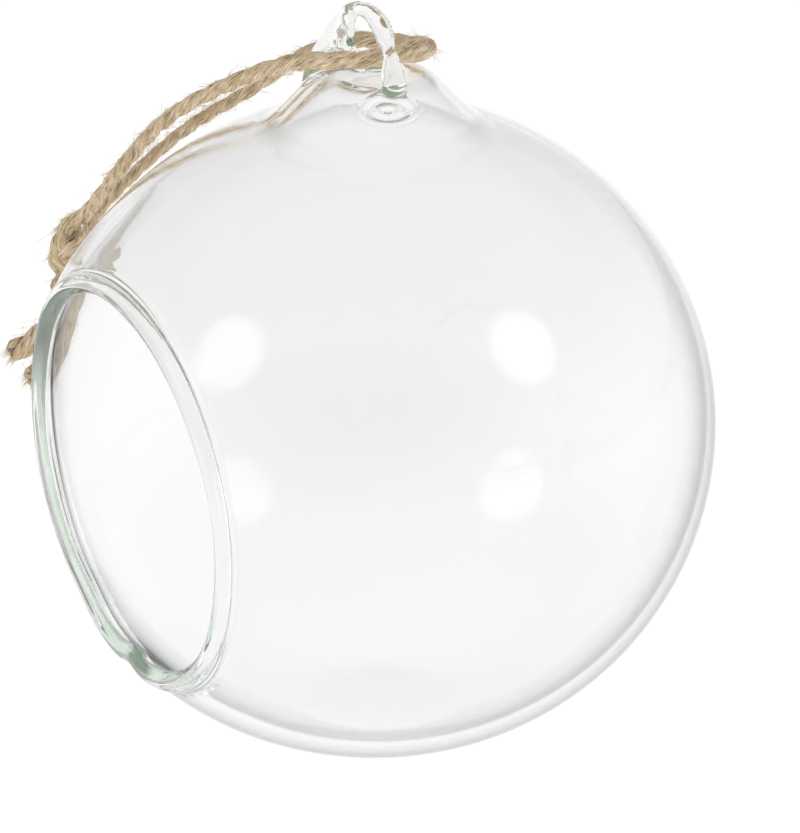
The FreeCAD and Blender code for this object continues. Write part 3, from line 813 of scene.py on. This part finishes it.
def ply_mesh(points, frames, phase, settings, spacing):
    """One ply of the twine, as a tube that winds round the line and swells and narrows."""
    ply_radius, offset = settings.diameter * PLY_RADIUS, settings.diameter * PLY_OFFSET
    centre, radii = [], []
    last = len(points) - 1
    for index, (point, (_, normal, binormal)) in enumerate(zip(points, frames)):
        turn = phase - 2 * math.pi * index * spacing / settings.lay
        swell = 1.0 + 0.07 * noise.noise(Vector((index * spacing * 700, phase, 3.0)))
        end = min(index, last - index) * spacing / settings.diameter
        width = blend_table(TWINE_WIDTH, index / last)
        # The cut ends are thinner, and the plies lie a little further apart there
        swell *= width
        swell *= 0.55 + 0.45 * smoothstep(0.0, 0.35, end)
        opening = 1.0 + 0.1 * (1.0 - smoothstep(0.0, 2.2, end))
        centre.append(point + (normal * math.cos(turn) + binormal * math.sin(turn))
                      * offset * opening * width)
        radii.append(swell)
    tube = poly_curve("ply", centre, radii, ply_radius, PLY_SIDES // 2 - 2)
    mesh = mesh_from(tube)
    drop_object(tube)
    return mesh


def store_fibres(mesh, line, sides, spacing, phase, diameter):
    """Stores where each vertex lies in its ply's run of fibres, and how open it lies, which the
    painted crease shade follows.
    """
    mesh.attributes.new("fibre", "FLOAT_VECTOR", "POINT")
    mesh.attributes.new("open", "FLOAT", "POINT")
    layer, outer = mesh.attributes["fibre"], mesh.attributes["open"]
    for index, vert in enumerate(mesh.vertices):
        ring, side = divmod(min(index, len(line) * sides - 1), sides)
        width = diameter * blend_table(TWINE_WIDTH, ring / (len(line) - 1))
        outer.data[index].value = (vert.co - line[ring]).length / width * 2
        run = ring * spacing / MM
        turn = 2 * math.pi * side / sides + run * 0.5 + phase
        layer.data[index].vector = (math.cos(turn), math.sin(turn), run * 0.2 + phase)


def add_hair(curve, root, heading, bend, length, radius):
    """A loose fibre that curves away from the twine and thins out."""
    steps = 4
    spline = curve.splines.new("POLY")
    spline.points.add(steps)
    place = root.copy()
    for step, point in enumerate(spline.points):
        point.co = (*place, 1.0)
        point.radius = radius * (1.0 - 0.6 * step / steps)
        place += (heading + bend * (step / steps)) * (length / steps)


def strikes_glass(glass, root, heading, length):
    """True if a straight hair would enter the glass."""
    tip = root + heading * length
    return (glass.ray_cast(root, heading, length * 1.3 + 4e-4)[0] is not None
            or glass.find_nearest(tip, 3e-4)[0] is not None)


def hair_mesh(points, frames, settings):
    """Loose fibres along the twine, clear of the glass, and the brushes at its two tips."""
    random.seed(settings.seed)
    curve = bpy.data.curves.new("hairs", "CURVE")
    curve.dimensions = "3D"
    curve.bevel_depth = 1.0
    curve.bevel_resolution = 0
    curve.use_fill_caps = True
    glass = BVHTree.FromObject(bpy.data.objects["glass_ball"],
                               bpy.context.evaluated_depsgraph_get())
    count = len(points)
    for _ in range(settings.hairs):
        index = random.randrange(2, count - 2)
        tangent, normal, binormal = frames[index]
        turn = random.uniform(0, 2 * math.pi)
        out = normal * math.cos(turn) + binormal * math.sin(turn)
        sense = random.choice((-1, 1))
        heading = (tangent * sense * random.uniform(0.5, 1.2)
                   + out * random.uniform(0.25, 0.7)).normalized()
        bend = (out * random.uniform(-0.6, 0.5) + normal.cross(out) * random.uniform(-0.3, 0.3)
                + Vector((0, 0, random.uniform(-0.4, 0.1))))
        length = random.uniform(0.0007, 0.0019) * random.choice((0.6, 1.0, 1.0, 1.8))
        reach = 0.40 * blend_table(TWINE_WIDTH, index / (count - 1))
        radius = random.uniform(2.3e-5, 4.4e-5)
        root = points[index] + out * settings.diameter * reach
        if not any(strikes_glass(glass, root, way.normalized(), length)
                   for way in (heading, heading + bend * 0.5, heading + bend)):
            add_hair(curve, root, heading, bend, length, radius)
    for index, sense in ((1, -1), (count - 2, 1)):
        tangent, normal, binormal = frames[index]
        for _ in range(BRUSH_HAIRS):
            turn, spread = random.uniform(0, 2 * math.pi), random.uniform(0.0, 0.5)
            out = normal * math.cos(turn) + binormal * math.sin(turn)
            heading = (tangent * sense + out * spread * 1.1).normalized()
            root = points[index] + out * settings.diameter * random.uniform(0.05, 0.42)
            bend = Vector([random.uniform(-0.4, 0.4) for _ in range(3)])
            add_hair(curve, root, heading, bend, random.uniform(0.0008, 0.0019),
                     random.uniform(2.2e-5, 4.2e-5))
    hairs = new_object("hairs", curve)
    mesh = mesh_from(hairs)
    drop_object(hairs)
    return mesh


def twine_material(settings):
    """Jute: streaks along the fibres, whose darkest is partly painted shade in the bump's grooves,
    paler and darker patches, and painted shade in the creases between the plies.
    """
    material, nodes, links, shader = new_material("jute twine", {
        "Roughness": 0.82, "Sheen Weight": 0.25, "Sheen Roughness": 0.5,
        "Specular IOR Level": 0.25})
    fibre = nodes.new("ShaderNodeAttribute")
    fibre.attribute_name = "fibre"
    strands = noisy(nodes, links, fibre.outputs["Vector"], 3.0, 6.0, 0.7)
    # The darkest fibre colour falls where the bump below cuts grooves, so it is partly painted
    # shade.
    colours = ramp(nodes, links, strands, [(0.38, settings.deep), (0.45, settings.mid),
                                           (0.53, settings.mid), (0.60, settings.pale)])
    tone = ramp(nodes, links, noisy(nodes, links, own_place(nodes), 420.0, 3.0),
                [(0.35, (0.76, 0.72, 0.64)), (0.65, (1.0, 1.0, 1.0))])
    streaked = mixed(nodes, links, "MULTIPLY", colours, tone)
    outer = nodes.new("ShaderNodeAttribute")
    outer.attribute_name = "open"
    # Painted shade: the colour darkens towards the twine's middle, in the creases between the
    # plies.
    painted_crease_shade = ramp(nodes, links, outer.outputs["Fac"],
                  [(0.62, (0.10, 0.05, 0.02)), (0.70, (0.50, 0.42, 0.33)),
                   (0.84, (1.0, 1.0, 1.0))])
    links.new(mixed(nodes, links, "MULTIPLY", streaked, painted_crease_shade), shader.inputs["Base Color"])
    bump = nodes.new("ShaderNodeBump")
    bump.inputs["Strength"].default_value = 0.9
    bump.inputs["Distance"].default_value = 0.00016
    links.new(strands, bump.inputs["Height"])
    links.new(bump.outputs["Normal"], shader.inputs["Normal"])
    return material


def hair_material(settings):
    """Loose fibres, each a little paler or darker than the next."""
    material, nodes, links, shader = new_material("loose jute fibre", {"Roughness": 0.6})
    colours = ramp(nodes, links, noisy(nodes, links, own_place(nodes), 900.0),
                   [(0.35, settings.mid), (0.7, settings.pale)])
    links.new(colours, shader.inputs["Base Color"])
    return material


class VASE_OT_tie_twine(bpy.types.Operator):
    """Lay the twisted twine through the hook and tie its ends in a knot"""
    bl_idname = "vase.tie_twine"
    bl_label = "Tie Twine"

    def execute(self, context):
        settings = context.scene.vase_twine
        line, length = even_line(smooth_line(twine_route()), LINE_SPACING)
        spacing = length / (len(line) - 1)
        frames = line_frames(line)
        bm = bmesh.new()
        for ply in range(PLIES):
            phase = math.tau * ply / PLIES
            mesh = ply_mesh(line, frames, phase, settings, spacing)
            sides = round(len(mesh.vertices) / len(line))
            store_fibres(mesh, line, sides, spacing, phase, settings.diameter)
            bm.from_mesh(mesh)
            bpy.data.meshes.remove(mesh)
        for face in bm.faces:
            face.smooth = True
        if not bm.faces:
            raise RuntimeError("the twine has no surface")
        twine = new_object("twine", to_mesh(bm, "twine"))
        twine.data.materials.append(twine_material(settings))
        fuzz = new_object("twine_fuzz", hair_mesh(line, frames, settings))
        fuzz.data.materials.append(hair_material(settings))
        for piece in (twine, fuzz):
            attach(piece, "root")
        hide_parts("hanging_cord", "cord_knot", "cord_tail_long", "cord_tail_short")
        return {"FINISHED"}


# Stage

def view_axes(settings):
    """Directions towards the camera, to the picture's right, and up."""
    a, e = settings.azimuth, settings.elevation
    back = Vector((math.sin(a) * math.cos(e), -math.cos(a) * math.cos(e), math.sin(e)))
    right = Vector((math.cos(a), math.sin(a), 0.0))
    return back, right, back.cross(right)


def add_lamp(name, direction, distance, size, radiance, target):
    """A round soft lamp that faces the target."""
    light = bpy.data.lights.new(name, "AREA")
    light.shape = "DISK"
    light.size = size
    light.energy = radiance * math.pi * math.pi * size * size / 4
    lamp = new_object(name, light)
    lamp.location = target + direction.normalized() * distance
    lamp.rotation_euler = direction.to_track_quat("Z", "Y").to_euler()
    return lamp


def floor_material(settings):
    """Pale matt table that gives off a little light of its own."""
    return new_material("pale table", {
        "Base Color": (0.82, 0.82, 0.82, 1.0), "Roughness": 0.9, "Specular IOR Level": 0.0,
        "Emission Color": (1.0, 1.0, 1.0, 1.0), "Emission Strength": settings.floor_glow})[0]


def room_light(settings, glows):
    """A pale room, darker overhead than at the height of the table, with soft bright windows."""
    world = bpy.data.worlds.new("room")
    bpy.context.scene.world = world
    world.use_nodes = True
    nodes, links = world.node_tree.nodes, world.node_tree.links
    place = nodes.new("ShaderNodeTexCoord")
    split = nodes.new("ShaderNodeSeparateXYZ")
    links.new(place.outputs["Generated"], split.inputs["Vector"])
    colour = ramp(nodes, links, split.outputs["Z"],
                  [(0.0, (1.0, 1.0, 1.0)), (0.12, (0.9, 0.9, 0.9)),
                   (0.5, (settings.sky,) * 3), (1.0, (settings.sky * 0.9,) * 3)])
    for direction in glows:
        facing = nodes.new("ShaderNodeVectorMath")
        facing.operation = "DOT_PRODUCT"
        facing.inputs[1].default_value = direction.normalized()
        links.new(place.outputs["Generated"], facing.inputs[0])
        glow = eased(nodes, links, facing.outputs["Value"], math.cos(WINDOW_EDGE),
                     math.cos(WINDOW_CORE), 0.0, settings.window_radiance)
        colour = mixed(nodes, links, "ADD", colour, glow)
    links.new(colour, nodes["Background"].inputs["Color"])


class VASE_OT_dress_stage(bpy.types.Operator):
    """Set up the camera, the table, the room and the two soft lamps"""
    bl_idname = "vase.dress_stage"
    bl_label = "Dress Stage"

    def execute(self, context):
        settings = context.scene.vase_stage
        back, right, up = view_axes(settings)
        centre = BALL_CENTRE * MM
        aim = centre + right * AIM_RIGHT + up * AIM_UP
        camera_data = bpy.data.cameras.new("camera")
        camera_data.lens = settings.lens
        camera_data.clip_start, camera_data.clip_end = 0.01, 20.0
        camera = new_object("camera", camera_data)
        camera.location = aim + back * settings.distance
        camera.rotation_euler = back.to_track_quat("Z", "Y").to_euler()
        context.scene.camera = camera

        bm = bmesh.new()
        bmesh.ops.create_circle(bm, cap_ends=True, segments=96, radius=TABLE_RADIUS)
        bmesh.ops.translate(bm, vec=(0.0, 0.0, -TABLE_GAP), verts=bm.verts)
        table = new_object("table_top", to_mesh(bm, "table_top"))
        table.data.materials.append(floor_material(settings))

        sides = {name: back * x + right * y + up * z
                 for name, (x, y, z) in LAMP_SIDES.items()}
        room_light(settings, sides.values())
        for name, direction in sides.items():
            lamp = add_lamp("lamp_" + name, direction, LAMP_DISTANCE, LAMP_SIZE,
                            settings.lamp_radiance, centre)
            lamp.visible_glossy = False
            lamp.visible_transmission = False
        context.scene.view_settings.view_transform = "Standard"
        for kind in ("max", "transmission", "glossy"):
            setattr(context.scene.cycles, kind + "_bounces", LIGHT_BOUNCES)
        return {"FINISHED"}


class VASE_PT_panel(bpy.types.Panel):
    """Sidebar panel that lists the vase's steps and settings"""
    bl_label = "Ball Vase"
    bl_idname = "VASE_PT_panel"
    bl_space_type = "VIEW_3D"
    bl_region_type = "UI"
    bl_category = "Ball Vase"

    def draw(self, context):
        for step, settings in STEPS:
            box = self.layout.box()
            group = getattr(context.scene, settings)
            for name in group.__annotations__:
                box.prop(group, name)
            box.operator(step.bl_idname)


STEPS = (
    (VASE_OT_dress_stage, "vase_stage"),
    (VASE_OT_tie_twine, "vase_twine"),
    (VASE_OT_blow_glass, "vase_glass"),
)
SETTINGS = {"vase_glass": VaseGlassSettings, "vase_twine": VaseTwineSettings,
            "vase_stage": VaseStageSettings}


def register():
    """Adds the settings, operators and panel to Blender."""
    for name, group in SETTINGS.items():
        bpy.utils.register_class(group)
        setattr(bpy.types.Scene, name, PointerProperty(type=group))
    for operator, _ in STEPS:
        bpy.utils.register_class(operator)
    bpy.utils.register_class(VASE_PT_panel)


def unregister():
    """Takes the panel, operators and settings out again."""
    bpy.utils.unregister_class(VASE_PT_panel)
    for operator, _ in reversed(STEPS):
        bpy.utils.unregister_class(operator)
    for name, group in SETTINGS.items():
        delattr(bpy.types.Scene, name)
        bpy.utils.unregister_class(group)


def main():
    """Builds the stage, the twine and the glass."""
    register()
    bpy.ops.vase.dress_stage()
    bpy.ops.vase.tie_twine()
    bpy.ops.vase.blow_glass()


if __name__ == "__main__":
    main()
